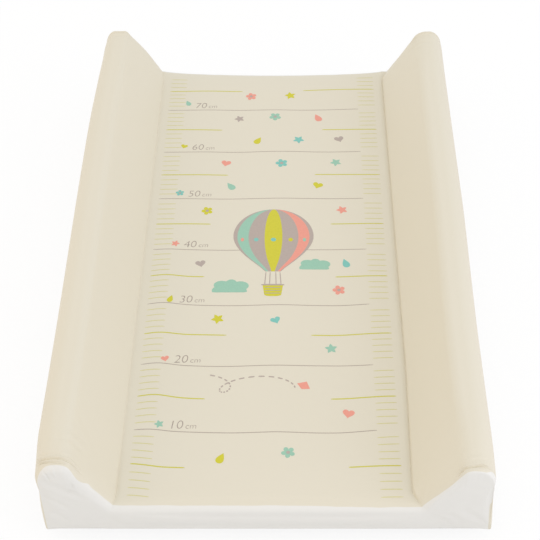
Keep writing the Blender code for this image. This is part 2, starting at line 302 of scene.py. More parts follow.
class PadColours(bpy.types.PropertyGroup):
    cream: colour_setting("Cream", "Printed ground of the film", (0.780, 0.731, 0.600))
    white: colour_setting("White", "Unprinted film at both ends", (0.84, 0.83, 0.79))
    foam: colour_setting("Foam", "Cut foam", (0.84, 0.78, 0.56))
    board: colour_setting("Board", "Raw fibreboard", (0.30, 0.19, 0.11))
    mint: colour_setting("Mint", "Mint ink", (0.33, 0.585, 0.445))
    coral: colour_setting("Coral", "Coral ink", (0.86, 0.345, 0.265))
    teal: colour_setting("Teal", "Teal ink", (0.215, 0.57, 0.50))
    lime: colour_setting("Lime", "Lime ink", (0.65, 0.61, 0.03))
    mauve: colour_setting("Mauve grey", "Mauve-grey ink", (0.479, 0.402, 0.356))
    cloth: colour_setting("Backing cloth", "Non-woven cloth", (0.72, 0.72, 0.70))
    pine: colour_setting("Pine", "Planed pine", (0.66, 0.46, 0.25))
    zinc: colour_setting("Zinc", "Plated steel", (0.62, 0.63, 0.64))
    lime_line: colour_setting("Lime lines", "Lines at every five centimetres", (0.62, 0.59, 0.07))
    pale_lime: colour_setting("Pale lime ticks", "Ticks at every centimetre", (0.68, 0.64, 0.28))
    mauve_line: colour_setting(
        "Mauve lines", "Numbers and lines at every ten centimetres", (0.42, 0.35, 0.30))


class StageSettings(bpy.types.PropertyGroup):
    lens: FloatProperty(name="Lens", description="Focal length in millimetres", default=86.6)
    tilt: FloatProperty(
        name="Tilt", description="Camera's angle from straight down", default=math.radians(44.95),
        subtype="ANGLE")


def ease(low, high, value):
    """0 below low, 1 above high, and a smooth turn between them."""
    share = min(max((value - low) / (high - low), 0.0), 1.0)
    return share * share * (3 - 2 * share)


def bell(offset, width):
    """1 where there is no offset, falling smoothly to 0 on both sides over about twice the width."""
    return math.exp(-((offset / width) ** 2))


def sum_along(parts, y):
    """Sum at y of what comes and goes along the pad."""
    return sum(amount * ease(*coming, y) * (1 - ease(*going, y)) for amount, coming, going in parts)


def end_at(y):
    return FAR if y > 0 else NEAR


def side_at(x):
    return RIGHT if x > 0 else LEFT


def lengths_along(points):
    """Length of a chain of points up to each of them."""
    lengths = [0.0]
    for before, after in zip(points, points[1:]):
        lengths.append(lengths[-1] + (after - before).length)
    return lengths


def new_object(name, bm):
    mesh = bpy.data.meshes.new(name)
    bm.to_mesh(mesh)
    bm.free()
    obj = bpy.data.objects.new(name, mesh)
    bpy.context.scene.collection.objects.link(obj)
    return obj


def smooth(obj):
    """Shades an object smooth, apart from its sharp edges."""
    obj.data.shade_smooth()
    obj.data.set_sharp_from_angle(angle=SHARP_ANGLE)


def thicken(obj, thickness, offset):
    """Gives a surface its wall: inwards for an offset of -1, to both sides for 0."""
    wall = obj.modifiers.new("Thickness", "SOLIDIFY")
    wall.thickness = thickness
    wall.offset = offset


def everything(bm):
    return bm.verts[:] + bm.edges[:] + bm.faces[:]


def only(kind, items):
    """Those items that are of one kind."""
    return [item for item in items if isinstance(item, kind)]


def arc(centre, radii, start, end, steps):
    """Points of an elliptical arc in the section's plane, without its last one."""
    points = []
    for step in range(steps):
        turn = start + (end - start) * step / steps
        points.append(Vector((centre[0] + radii[0] * math.cos(turn), centre[1] + radii[1] * math.sin(turn))))
    return points


def straight(start, end, steps):
    return [start.lerp(end, step / steps) for step in range(steps)]


def end_pull(pad, y, length):
    """1 at either end of the pad, falling smoothly to 0 at that length from it."""
    return 1 - ease(0, length, pad.half_length - abs(y))


def lean(pad, side, y):
    """How far a raised side leans out at y."""
    return sum_along(LEAN[side], y) - WALL_PINCH[end_at(y), side] * end_pull(pad, y, PINCH_LENGTH)


def half_section(pad, side, y):
    """Half of the section at y, from the base corner up the wall, over the crest and in to the middle."""
    corner = (end_at(y), side)
    wider, rounder, fuller = [ease(*CORNER_ZONE, abs(y)) * value for value in CREST_FORM[corner]]
    flat = pad.crest_flat + wider
    inner = pad.inner_radius + rounder
    outer_reach = pad.outer_reach + fuller
    wall_top = Vector((pad.half_width + lean(pad, side, y), pad.crest_top - pad.outer_drop))
    base = pad.half_width - pad.wall_bulge + BASE_SHIFT[corner] * end_pull(pad, y, BASE_SHIFT_LENGTH)
    points = []
    for step in range(WALL_STEPS):
        share = (step / WALL_STEPS) ** WALL_CROWDING
        x = base + (wall_top.x - base) * math.sin(share * math.pi / 2)
        points.append(Vector((x, pad.bottom + (wall_top.y - pad.bottom) * share)))
    outer_centre = Vector((wall_top.x - outer_reach, wall_top.y))
    points += arc(outer_centre, (outer_reach, pad.outer_drop), 0, math.pi / 2, OUTER_ARC_STEPS)

    flare = CREASE_FLARE[corner] * end_pull(pad, y, FLARE_LENGTH)
    foot = Vector((pad.valley - sum_along(CREASE_DRIFT[side], y) + flare, pad.slab_top))
    inner_centre = Vector((outer_centre.x - flat, pad.crest_top - inner))
    reach = inner_centre - foot
    slope = math.atan2(reach.y, reach.x) + math.asin(inner / reach.length)
    crest_end = Vector((inner_centre.x, pad.crest_top))
    points += straight(Vector((outer_centre.x, pad.crest_top)), crest_end, CREST_STEPS)
    points += arc(inner_centre, (inner, inner), math.pi / 2, slope + math.pi / 2, INNER_ARC_STEPS)
    normal = Vector((math.cos(slope + math.pi / 2), math.sin(slope + math.pi / 2)))
    slope_top = inner_centre + normal * inner
    swell = sum_along(SLOPE_SWELL[side], y)
    for step in range(SLOPE_STEPS):
        share = (1 - step / SLOPE_STEPS) ** SLOPE_CROWDING
        points.append(foot.lerp(slope_top, share) + normal * swell * math.sin(math.pi * share))
    middle = Vector((0, pad.slab_top))
    points += [foot.lerp(middle, (step / SLAB_STEPS) ** SLAB_CROWDING) for step in range(SLAB_STEPS)]
    return points


def full_section(pad, y):
    right = half_section(pad, RIGHT, y)
    left = [Vector((-point.x, point.y)) for point in reversed(half_section(pad, LEFT, y))]
    return right + [Vector((0, pad.slab_top))] + left


def edge_share(column, columns, end):
    """Share of the end's rounding that a column of the section takes."""
    corner = (end, RIGHT if column < columns / 2 else LEFT)
    place = min(column, columns - 1 - column)
    middle = 1 + (CREST_SHARE[corner] - 1) * (1 - ease(CREASE_COLUMN - 12, CREASE_COLUMN, place))
    over_wall = ease(WALL_STEPS - 4, WALL_STEPS + 0.8 * OUTER_ARC_STEPS, place)
    return WALL_SHARE[corner] + (middle - WALL_SHARE[corner]) * over_wall


def inset_section(points, depths):
    """Moves every point of a closed section inwards by its depth, with mitred corners."""
    moved = []
    for index, point in enumerate(points):
        before = (point - points[index - 1]).normalized()
        after = (points[(index + 1) % len(points)] - point).normalized()
        inward_before = Vector((-before.y, before.x))
        inward_after = Vector((-after.y, after.x))
        mitre = (inward_before + inward_after).normalized()
        moved.append(point + mitre * depths[index] / mitre.dot(inward_after))
    return moved


def settled_height(pad, x, y, z):
    """Height of a point of the top once the middle is crowned and the ends droop under the pulled film."""
    end = end_at(y)
    past = max(0, abs(y) - (pad.half_length - pad.droop_length - END_RADIUS[end]))
    droop = min(1, past / pad.droop_length) ** 2
    if abs(x) < pad.valley:
        across = 1 - (x / pad.valley) ** 2
        along = 1 - (y / pad.half_length) ** 2
        return z + across * pad.slab_crown * along - SLAB_DROOP[end] * droop * across ** 0.6
    climb = max(0, (z - pad.slab_top) / (pad.crest_top - pad.slab_top))
    return z - CREST_DROOP[end, side_at(x)] * climb * droop


def section_at(pad, y, inset, extra):
    """Points of the section at y, set in by inset on every side and by extra on all but the underside."""
    section = full_section(pad, y)
    depths = [inset + extra * edge_share(column, len(section), end_at(y)) for column in range(len(section))]
    outline = inset_section(section, depths)
    points = [Vector((point.x, y, settled_height(pad, point.x, y, point.y))) for point in outline]
    points[0].z = points[-1].z = pad.bottom + inset
    return points


FilmRow = namedtuple("FilmRow", "end y inset face_share distance")


def film_rows(pad):
    """The film's rows from the near end's bottom edge, up, over the top and down to the far end's.

    Each row has its end, its y, its inset round the end's edge, its share of the way up the end's face or
    None, and how far along the film it is from that face's top edge.
    """
    ends = {}
    for end in (NEAR, FAR):
        radius = END_RADIUS[end]
        edge = end * pad.half_length
        rows = [FilmRow(end, edge, radius, step / FACE_STEPS, 0.0) for step in range(FACE_STEPS)]
        for step in range(ROUND_STEPS):
            turn = math.pi / 2 * step / ROUND_STEPS
            y = pad.half_length - radius * (1 - math.cos(turn))
            rows.append(FilmRow(end, end * y, radius * (1 - math.sin(turn)), None, radius * turn))
        for step in range(END_STEPS):
            y = pad.half_length - radius - END_ZONE * (step / END_STEPS) ** END_CROWDING
            rows.append(FilmRow(end, end * y, 0.0, None, film_distance(pad, end, y)))
        ends[end] = rows
    start = pad.half_length - END_RADIUS[NEAR] - END_ZONE
    stop = pad.half_length - END_RADIUS[FAR] - END_ZONE
    middle = []
    for step in range(MIDDLE_STEPS + 1):
        y = -start + (start + stop) * step / MIDDLE_STEPS
        middle.append(FilmRow(end_at(y), y, 0.0, None, film_distance(pad, end_at(y), abs(y))))
    return ends[NEAR] + middle + ends[FAR][::-1]


def film_distance(pad, end, y):
    """Length of film from the top edge of an end's face to a place on the top."""
    radius = END_RADIUS[end]
    return radius * math.pi / 2 + pad.half_length - radius - y


def draw_in(row, points):
    """Draws the near left corner's wall in below the crest, where the film is pulled hardest."""
    for point in points:
        if row.end == NEAR and point.x < 0:
            tight = bell(point.z - DENT_HEIGHT, DENT_WIDTH) * ease(0.20, 0.24, -point.x)
            point.x += DENT_DEPTH * tight * (1 - ease(0, DENT_LENGTH, row.distance))
    return points


def film_positions(pad, row):
    """Points of one row, from the right base corner to the left one."""
    outline = section_at(pad, row.y, 0.0, row.inset)
    turn = min(row.distance / END_RADIUS[row.end], math.pi / 2)
    for corner in (outline[0], outline[-1]):
        corner.x -= math.copysign(HEM_ROUND * math.sin(turn), corner.x)
        corner.y -= row.end * HEM_ROUND * math.cos(turn)
    if row.face_share is None:
        return draw_in(row, outline)
    half = len(outline) // 2
    points = [None] * len(outline)
    for order in (range(half + 1), range(len(outline) - 1, half - 1, -1)):
        base = abs(outline[order[0]].x)
        foot = abs(outline[order[CREASE_COLUMN]].x) + 0.004
        lengths = lengths_along([outline[index] for index in order])
        for place, index in enumerate(order):
            if place <= CREASE_COLUMN:
                x = base + (foot - base) * lengths[place] / lengths[CREASE_COLUMN]
            else:
                x = foot * (lengths[-1] - lengths[place]) / (lengths[-1] - lengths[CREASE_COLUMN])
            turned_in = HEM_ROUND * row.end if row.face_share == 0 else 0.0
            low = Vector((math.copysign(x, outline[order[0]].x), row.y - turned_in, pad.bottom))
            points[index] = low.lerp(outline[index], row.face_share) if place else outline[index].copy()
    return draw_in(row, points)


def whiteness(pad, row, point, section_height):
    """Distance inside the edge of the white, unprinted end of the film; negative on the cream print."""
    side = side_at(point.x)
    rise = ease(pad.slab_top, pad.crest_top - 0.02, section_height)
    level = WHITE_LEVEL[row.end] - WHITE_FALL[row.end] * ease(0.02, 0.12, point.x)
    reach = level + (WHITE_REACH[row.end, side] - level) * rise
    for amount, height, width in WHITE_WAVES[side]:
        reach += amount * bell(section_height - height, width)
    lap = LAP_STRIP[side]
    if (row.end, side) == (NEAR, RIGHT):
        lap -= 0.0080 * ease(0.062, 0.080, point.z)
        if row.face_share is None:
            tapered = 0.0125 * ease(0.062, 0.104, point.z) - 0.001
            reach += (tapered - reach) * ease(0.232, 0.244, point.x)
    reach += 0.0007 * noise.noise(Vector((point.x * 60, point.z * 60, row.end)))
    beside_lap = outer_wall(pad, side, row.y, point.z) - abs(point.x) - lap
    return min(reach - row.distance, beside_lap)


def outer_wall(pad, side, y, height):
    """How far out the wall is at y and at a height."""
    wall = half_section(pad, side, y)[:WALL_STEPS + OUTER_ARC_STEPS]
    for low, high in zip(wall, wall[1:]):
        if high.y >= height:
            share = (height - low.y) / max(high.y - low.y, 0.00001)
            return low.x + (high.x - low.x) * share
    return wall[-1].x


def groove(offset, width, depth):
    """Height across a fold: a groove with a soft lip on either side, or a ridge for a negative depth."""
    near = offset / width
    return depth * (0.6 * math.exp(-((abs(near) - 1.8) ** 2)) - 0.9 * math.exp(-near * near))


def gather_relief(end, side, along, distance):
    """Height of the gathers at a place round the crest and a distance from the end."""
    height = 0.0
    for start, outer, inner, width, depth, first, last in GATHERS[end, side]:
        if not first < along < last:
            continue
        bend = outer * (along / first) ** 2 if along < 0 < -first else inner * min(1, abs(along) / last)
        centre = start + bend + 0.0008 * noise.noise(Vector((along * 90, start * 500, side)))
        fade = ease(0, 0.010, along - first) * ease(0, 0.014, last - along)
        height += fade * groove(distance - centre, width, depth)
    return height


def pleat_relief(end, side, along, distance):
    """Height of the pleats; the distance is negative down the end's face."""
    height = 0.0
    for place, width, rise, top_reach, face_reach in PLEATS[end, side]:
        fade = 1 - ease(0.4, 1.0, distance / top_reach if distance > 0 else -distance / face_reach)
        height += fade * rise * bell(along - place, width)
    return height


def pull_relief(end, x, height):
    """Depth of the pull folds on an end's face."""
    relief = 0.0
    here = Vector((x, height))
    for first, last, width, depth in PULLS[end]:
        run = Vector(last) - Vector(first)
        share = (here - Vector(first)).dot(run) / run.length_squared
        if 0 < share < 1:
            offset = (here - Vector(first)).cross(run) / run.length
            offset += 0.0015 * math.sin(share * math.pi) * (1 if depth > 0 else 0.3)
            fade = ease(0, 0.25, share) * ease(0, 0.4, 1 - share)
            relief += fade * groove(offset, width, depth)
    return relief


def film_relief(pad, row, point, from_crease, along, below_top):
    """How far the film stands out of its tight form, or lies under it where that is negative."""
    side = side_at(point.x)
    soft = 0.00025 * noise.noise(Vector((point.x * 16, point.y * 9, point.z * 16)))
    soft += 0.00008 * noise.noise(Vector((point.x * 70, point.y * 40, point.z * 70 + 5)))
    if row.face_share is not None:
        inside = ease(0, 0.006, below_top) * ease(0, 0.008, point.z - pad.bottom)
        relief = inside * (pull_relief(row.end, point.x, point.z) + 2 * soft)
        return relief + pleat_relief(row.end, side, along, -below_top)
    near_end = 1 - ease(0.02, 0.09, row.distance)
    tight = ease(0, 0.02, abs(point.z - pad.bottom))
    crease = bell(from_crease, CREASE_WIDTH) * ease(0.004, CREASE_START[row.end], row.distance)
    depth = CREASE_SHARE[side] + 0.5 * (1 - CREASE_SHARE[side]) * (1 - ease(-0.39, -0.29, row.y))
    relief = soft * tight * (0.5 + near_end) - pad.crease_depth * depth * crease
    relief += gather_relief(row.end, side, along, row.distance)
    return relief + pleat_relief(row.end, side, along, row.distance)


def crest_lengths(pad):
    """Length of film from the crest's middle to each column of the right half, positive down the slope."""
    lengths = lengths_along(half_section(pad, RIGHT, 0.0))
    middle = lengths[WALL_STEPS + OUTER_ARC_STEPS + CREST_STEPS // 2]
    return [length - middle for length in lengths] + [1.0]


def turn_hem(bm, pad):
    """Turns the film's open edge in under the board by the width of the hem."""
    edges = [edge for edge in bm.edges if edge.is_boundary]
    grown = bmesh.ops.extrude_edge_only(bm, edges=edges)["geom"]
    base = pad.half_width - pad.wall_bulge
    shrink = Matrix.Diagonal((1 - pad.hem / base, 1 - pad.hem / pad.half_length, 1))
    for vert in only(bmesh.types.BMVert, grown):
        vert.co = shrink @ vert.co


def film_surface(pad):
    """The film without its thickness: a grid wrapped round the pad, with its folds and its hem."""
    rows = film_rows(pad)
    heights = [point.y for point in full_section(pad, 0.0)]
    columns = len(heights)
    alongs = crest_lengths(pad)
    placed = [film_positions(pad, row) for row in rows]
    bm = bmesh.new()
    white = bm.verts.layers.float.new("white")
    bmesh.ops.create_grid(bm, x_segments=columns - 1, y_segments=len(rows) - 1, size=0.5)
    spots = {}
    for vert in bm.verts:
        column = round((vert.co.x + 0.5) * (columns - 1))
        order = round((vert.co.y + 0.5) * (len(rows) - 1))
        spots[vert] = (order, column)
        vert.co = placed[order][column]
        vert[white] = whiteness(pad, rows[order], vert.co, heights[column])
    bm.normal_update()
    up = 1 if sum(face.normal.z for face in bm.faces) > 0 else -1
    moved = {}
    for vert, (order, column) in spots.items():
        if vert.is_boundary:
            continue
        row = rows[order]
        top_row = FACE_STEPS if row.end == NEAR else len(rows) - 1 - FACE_STEPS
        below = (placed[top_row][column] - vert.co).length if row.face_share is not None else 0.0
        along = alongs[min(column, columns - 1 - column)]
        relief = film_relief(pad, row, vert.co, along - alongs[CREASE_COLUMN], along, below)
        moved[vert] = vert.co + vert.normal * up * max(relief, -pad.crease_depth)
    for vert, place in moved.items():
        vert.co = place
    bmesh.ops.remove_doubles(bm, verts=bm.verts, dist=0.00008)
    turn_hem(bm, pad)
    bmesh.ops.recalc_face_normals(bm, faces=bm.faces)
    return bm


def hold_on_film(pad, place):
    """How firmly the foam and the staples hold the film at a place, from 0 to 1."""
    from_end = pad.half_length - abs(place.y)
    hem = 1 - ease(0.0, 0.012, place.z - pad.bottom)
    off_crease = abs(abs(place.x) - pad.valley) + 0.7 * max(0, place.z - pad.slab_top)
    crease = (1 - ease(0.002, 0.008, off_crease)) * ease(0.01, 0.03, from_end)
    return max(hem, crease, 0.6 * ease(0.05, 0.12, from_end), 0.02)


def settle_film(film, pad, cloth_sizes):
    """Swells the loose film at the ends by a short cloth simulation, and keeps a capped share of that."""
    scene = bpy.context.scene
    held = film.vertex_groups.new(name="held")
    loose = film.vertex_groups.new(name="loose")
    for vert in film.data.vertices:
        held.add([vert.index], hold_on_film(pad, vert.co), "REPLACE")
        loose.add([vert.index], 1 - ease(0.02, 0.07, pad.half_length - abs(vert.co.y)), "REPLACE")
    cloth = film.modifiers.new("Cloth", "CLOTH")
    settings = cloth.settings
    settings.quality = 3
    settings.mass = 0.01
    settings.bending_stiffness = 0.1
    settings.use_pressure = True
    settings.uniform_pressure_force = cloth_sizes.pressure
    settings.vertex_group_mass = held.name
    settings.vertex_group_shrink = loose.name
    settings.shrink_max = -cloth_sizes.growth
    settings.effector_weights.gravity = 0
    cloth.point_cache.frame_end = cloth_sizes.frames
    for frame in range(1, cloth_sizes.frames + 1):
        scene.frame_set(frame)
    settled = film.evaluated_get(bpy.context.evaluated_depsgraph_get()).data
    places = [vert.co.copy() for vert in settled.vertices]
    normals = [normal.vector.copy() for normal in film.data.vertex_normals]
    film.modifiers.remove(cloth)
    film.vertex_groups.clear()
    scene.frame_set(1)
    for vert, place, normal in zip(film.data.vertices, places, normals):
        out = (place - vert.co).dot(normal) * cloth_sizes.kept
        most = cloth_sizes.most_out if out > 0 else cloth_sizes.most_in
        vert.co += normal * most * math.tanh(out / most)


def add_node(tree, kind, **values):
    """Adds a shader node; values set its settings or, by name, its inputs."""
    node = tree.nodes.new("ShaderNode" + kind)
    for name, value in values.items():
        if hasattr(node, name):
            setattr(node, name, value)
        else:
            node.inputs[name.replace("_", " ")].default_value = value
    return node


def new_material(name, roughness=0.5, metallic=0.0):
    made = bpy.data.materials.new(name)
    made.use_nodes = True
    shader = made.node_tree.nodes["Principled BSDF"]
    shader.inputs["Roughness"].default_value = roughness
    shader.inputs["Metallic"].default_value = metallic
    return made, made.node_tree, shader


def add_texture(tree, kind, **values):
    """Adds a texture that reads Object coordinates."""
    place = add_node(tree, "TexCoord")
    texture = add_node(tree, kind, **values)
    tree.links.new(place.outputs["Object"], texture.inputs["Vector"])
    return texture


def combine(tree, operation, first, second):
    """Output of a Math node that takes two others."""
    node = add_node(tree, "Math", operation=operation)
    tree.links.new(first, node.inputs[0])
    tree.links.new(second, node.inputs[1])
    return node.outputs[0]


def shade(colour, share):
    """The colour made darker, or lighter for a share over 1."""
    return [min(1.0, share * value) for value in colour]


def paint(tree, shader, factor, first, second):
    """Colours a shader from the first colour, where the factor is 0, to the second one."""
    mixed = add_node(tree, "Mix", data_type="RGBA")
    mixed.inputs["A"].default_value = (*first, 1)
    mixed.inputs["B"].default_value = (*second, 1)
    tree.links.new(factor, mixed.inputs["Factor"])
    tree.links.new(mixed.outputs["Result"], shader.inputs["Base Color"])


def add_bump(tree, shader, height, distance, strength=1.0):
    bump = add_node(tree, "Bump", Strength=strength, Distance=distance)
    tree.links.new(height, bump.inputs["Height"])
    tree.links.new(bump.outputs["Normal"], shader.inputs["Normal"])


def film_material(colours):
    """Satin film, cream where it is printed and white at the ends."""
    made, tree, shader = new_material("Satin PVC film")
    white = add_node(tree, "Attribute", attribute_name="white")
    edge = add_node(tree, "MapRange", interpolation_type="SMOOTHSTEP", From_Min=-0.0004, From_Max=0.0004)
    tree.links.new(white.outputs["Fac"], edge.inputs["Value"])
    paint(tree, shader, edge.outputs["Result"], colours.cream, colours.white)
    grain = add_texture(tree, "TexNoise", Scale=1100.0, Detail=2.0)
    add_bump(tree, shader, grain.outputs["Fac"], 0.00006, strength=0.35)
    return made


class PAD_OT_cover_film(bpy.types.Operator):
    """Wraps the film over the pad, down its ends and under the board"""

    bl_idname = "pad.cover_film"
    bl_label = "Cover Film"

    def execute(self, context):
        pad = context.scene.pad_sizes
        film = new_object("cover_film_skin", film_surface(pad))
        settle_film(film, pad, context.scene.film_cloth)
        smooth(film)
        thicken(film, pad.film, -1)
        film.data.materials.append(film_material(context.scene.pad_colours))
        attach(film, "root")
        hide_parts("cover_film")
        return {"FINISHED"}


def foam_material(colour):
    made, tree, shader = new_material("Cut polyurethane foam", 0.95)
    cells = add_texture(tree, "TexVoronoi", Scale=900.0).outputs["Distance"]
    paint(tree, shader, cells, shade(colour, 0.8), colour)
    add_bump(tree, shader, cells, 0.0006)
    return made


def fibreboard_material(colour):
    made, tree, shader = new_material("Raw fibreboard", 0.8)
    fibres = add_texture(tree, "TexNoise", Scale=420.0, Detail=6.0, Roughness=0.7).outputs["Fac"]
    paint(tree, shader, fibres, shade(colour, 0.7), colour)
    add_bump(tree, shader, fibres, 0.0003)
    return made


def pine_material(colour):
    """Planed pine whose grain runs along X."""
    made, tree, shader = new_material("Planed pine", 0.55)
    along = add_texture(tree, "Mapping", Scale=(3.0, 60.0, 60.0))
    rings = add_node(tree, "TexNoise", Scale=3.0, Detail=4.0, Distortion=1.2)
    bands = add_node(tree, "TexWave", Scale=1.6, Distortion=5.0, Detail=3.0, bands_direction="Y")
    for texture in (rings, bands):
        tree.links.new(along.outputs["Vector"], texture.inputs["Vector"])
    grain = combine(tree, "MULTIPLY", rings.outputs["Fac"], bands.outputs["Fac"])
    paint(tree, shader, grain, colour, (0.62 * colour[0], 0.52 * colour[1], 0.42 * colour[2]))
    add_bump(tree, shader, grain, 0.0002)
    return made


def steel_material(colour):
    made, tree, shader = new_material("Zinc-plated steel", 0.35, 1.0)
    mottle = add_texture(tree, "TexNoise", Scale=700.0, Detail=3.0).outputs["Fac"]
    paint(tree, shader, mottle, shade(colour, 0.75), colour)
    rough = add_node(tree, "MapRange", To_Min=0.28, To_Max=0.48)
    tree.links.new(mottle, rough.inputs["Value"])
    tree.links.new(rough.outputs["Result"], shader.inputs["Roughness"])
    add_bump(tree, shader, mottle, 0.00005)
    return made


def backing_material(colour):
    made, tree, shader = new_material("Non-woven backing cloth", 0.9)
    points = add_texture(tree, "TexVoronoi", Scale=520.0, Randomness=0.15).outputs["Distance"]
    fibres = add_texture(tree, "TexNoise", Scale=1500.0, Detail=5.0, Distortion=1.5).outputs["Fac"]
    clouds = add_texture(tree, "TexNoise", Scale=60.0, Detail=4.0).outputs["Fac"]
    paint(tree, shader, clouds, shade(colour, 0.86), colour)
    add_bump(tree, shader, combine(tree, "ADD", points, fibres), 0.0003)
    return made


def ink_material(name, colour):
    """Print on the film: the film's own satin, in another colour that is a little uneven."""
    made, tree, shader = new_material(name)
    uneven = add_texture(tree, "TexNoise", Scale=350.0, Detail=4.0).outputs["Fac"]
    paint(tree, shader, uneven, shade(colour, 0.93), shade(colour, 1.08))
    return made


def foam_rows(pad, inset):
    """(y, extra inset) of the foam's rings from the near end to the far one."""
    ends = {}
    for end in (NEAR, FAR):
        radius = END_RADIUS[end] - inset
        ends[end] = []
        for step in range(FOAM_ROUND_STEPS + 1):
            turn = math.pi / 2 * step / FOAM_ROUND_STEPS
            y = end * (pad.half_length - inset - radius * (1 - math.cos(turn)))
            ends[end].append((y, radius * (1 - math.sin(turn))))
    start = ends[NEAR][-1][0]
    stop = ends[FAR][-1][0]
    middle = [(start + (stop - start) * step / FOAM_STEPS, 0.0) for step in range(1, FOAM_STEPS)]
    return ends[NEAR] + middle + ends[FAR][::-1]


def foam_form(pad, inset):
    """Closed form of all the foam: the section swept from end to end by extrusion."""
    bm = bmesh.new()
    first, *others = foam_rows(pad, inset)
    ring = [bm.verts.new(point) for point in section_at(pad, first[0], inset, first[1])]
    face = end_face = bm.faces.new(ring)
    for y, extra in others:
        grown = bmesh.ops.extrude_face_region(bm, geom=[face])["geom"]
        if face is not end_face:
            bmesh.ops.delete(bm, geom=[face], context="FACES_ONLY")
        face = only(bmesh.types.BMFace, grown)[0]
        for vert, point in zip(face.verts, section_at(pad, y, inset, extra)):
            vert.co = point
    return bm


def trim(bm, point, normal):
    """Cuts away what lies on the side of a plane that its normal points to, and closes the cut."""
    found = bmesh.ops.bisect_plane(
        bm, geom=everything(bm), plane_co=point, plane_no=normal, clear_outer=True)
    bmesh.ops.holes_fill(bm, edges=only(bmesh.types.BMEdge, found["geom_cut"]))


class PAD_OT_foams(bpy.types.Operator):
    """Fills the film with the flat foam and the two raised ones"""

    bl_idname = "pad.foams"
    bl_label = "Foams"

    def execute(self, context):
        pad = context.scene.pad_sizes
        finish = foam_material(context.scene.pad_colours.foam)
        low_right, high_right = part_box("right_bolster_foam")
        cuts = {
            "centre_foam": [(foam_high.x, 1), (foam_low.x, -1)],
            "left_bolster_foam": [(-low_right.x, 1)],
            "right_bolster_foam": [(low_right.x, -1)],
        }
        for node, planes in cuts.items():
            bm = foam_form(pad, pad.foam_inset)
            trim(bm, (0, 0, foam_low.z), (0, 0, -1))
            for x, way in planes:
                trim(bm, (x, 0, 0), (way, 0, 0))
            bmesh.ops.recalc_face_normals(bm, faces=bm.faces)
            foam = new_object(node + "_block", bm)
            smooth(foam)
            foam.data.materials.append(finish)
            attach(foam, "root")
            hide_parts(node)
        return {"FINISHED"}


# Backing cloth: its thickness, the dimple round each staple and the waves between them
CLOTH_THICKNESS = 0.0003
DIMPLE_DEPTH = 0.00016
DIMPLE_WIDTH = 0.009
CLOTH_WAVE = 0.00012


def staple_places():
    """Middles of the staples."""
    boxes = [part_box(name) for name in sorted(frame["nodes"]) if name.startswith("staple_")]
    return [(low + high) / 2 for low, high in boxes]


class PAD_OT_backing_cloth(bpy.types.Operator):
    """Closes the underside with the stapled cloth"""

    bl_idname = "pad.backing_cloth"
    bl_label = "Backing Cloth"

    def execute(self, context):
        staples = staple_places()
        size = cloth_high - cloth_low
        middle = (cloth_low + cloth_high) / 2
        bm = bmesh.new()
        place = Matrix.Translation(middle) @ Matrix.Diagonal((size.x, size.y, 1, 1))
        bmesh.ops.create_grid(bm, x_segments=96, y_segments=156, size=0.5, matrix=place)
        for vert in bm.verts:
            near = min((vert.co.xy - staple.xy).length for staple in staples)
            wave = CLOTH_WAVE * noise.noise(Vector((vert.co.x * 22, vert.co.y * 22, 0.3)))
            vert.co.z += DIMPLE_DEPTH * bell(near, DIMPLE_WIDTH) + wave
        bmesh.ops.reverse_faces(bm, faces=bm.faces)
        cloth = new_object("backing_cloth_sheet", bm)
        cloth.data.shade_smooth()
        thicken(cloth, CLOTH_THICKNESS, 0)
        cloth.data.materials.append(backing_material(context.scene.pad_colours.cloth))
        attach(cloth, "root")
        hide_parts("backing_cloth")
        return {"FINISHED"}


class PAD_OT_board_and_battens(bpy.types.Operator):
    """Gives the board and the battens their wood"""

    bl_idname = "pad.board_and_battens"
    bl_label = "Board and Battens"

    def execute(self, context):
        colours = context.scene.pad_colours
        fibreboard = fibreboard_material(colours.board)
        pine = pine_material(colours.pine)
        finishes = {"base_board": fibreboard, "front_batten": pine, "rear_batten": pine}
        for node, finish in finishes.items():
            frame["nodes"][node].material_slots[0].material = finish
        return {"FINISHED"}


class PAD_OT_fasteners(bpy.types.Operator):
    """Gives the staples and the screws their zinc plating"""

    bl_idname = "pad.fasteners"
    bl_label = "Staples and Screws"

    def execute(self, context):
        finish = steel_material(context.scene.pad_colours.zinc)
        for name, obj in frame["nodes"].items():
            if name.startswith(("staple_", "batten_screw_")):
                obj.material_slots[0].material = finish
        return {"FINISHED"}


# Ruler printed on the film: place of its zero, its step, its last mark, and how far the pulled film carries
# the marks back at each end
RULER_ZERO = -0.394
RULER_STEP = 0.00998
RULER_LAST = 78
NEAR_CARRY = 0.0024
FAR_CARRY = 0.0088

# Its ticks and lines: where they start and end, out from the pad's middle, and how each kind is drawn
TICK_OUTER = {LEFT: 0.1535, RIGHT: 0.151}
TICK_INNER = {LEFT: 0.129, RIGHT: 0.126}
HALF_LINE_ENDS = (0.092, 0.074, 0.052, 0.084, 0.080, 0.060, 0.072, 0.045)
TICK = {"width": 0.0010, "steps": 7, "taper": 0.05, "unevenness": 0.0008}
HALF_LINE = {"width": 0.0015, "steps": 24, "taper": 0.04, "unevenness": 0.0012}
TEN_LINE = {"width": 0.0009, "steps": 60, "taper": 0.01, "unevenness": 0.0012}

# Plain numbers over the ruler's long lines: where they and their unit start, their sizes and their rise
NUMBER_X = -0.1145
UNIT_X = -0.0950
NUMBER_SIZE = 0.0175
UNIT_SIZE = 0.0112
NUMBER_RISE = 0.0042

# How far print stands over the film, and how far it reaches into it
LINE_HEIGHT = 0.00010
PICTURE_HEIGHT = 0.00017
DETAIL_HEIGHT = 0.00023
PRINT_DEPTH = 0.00006


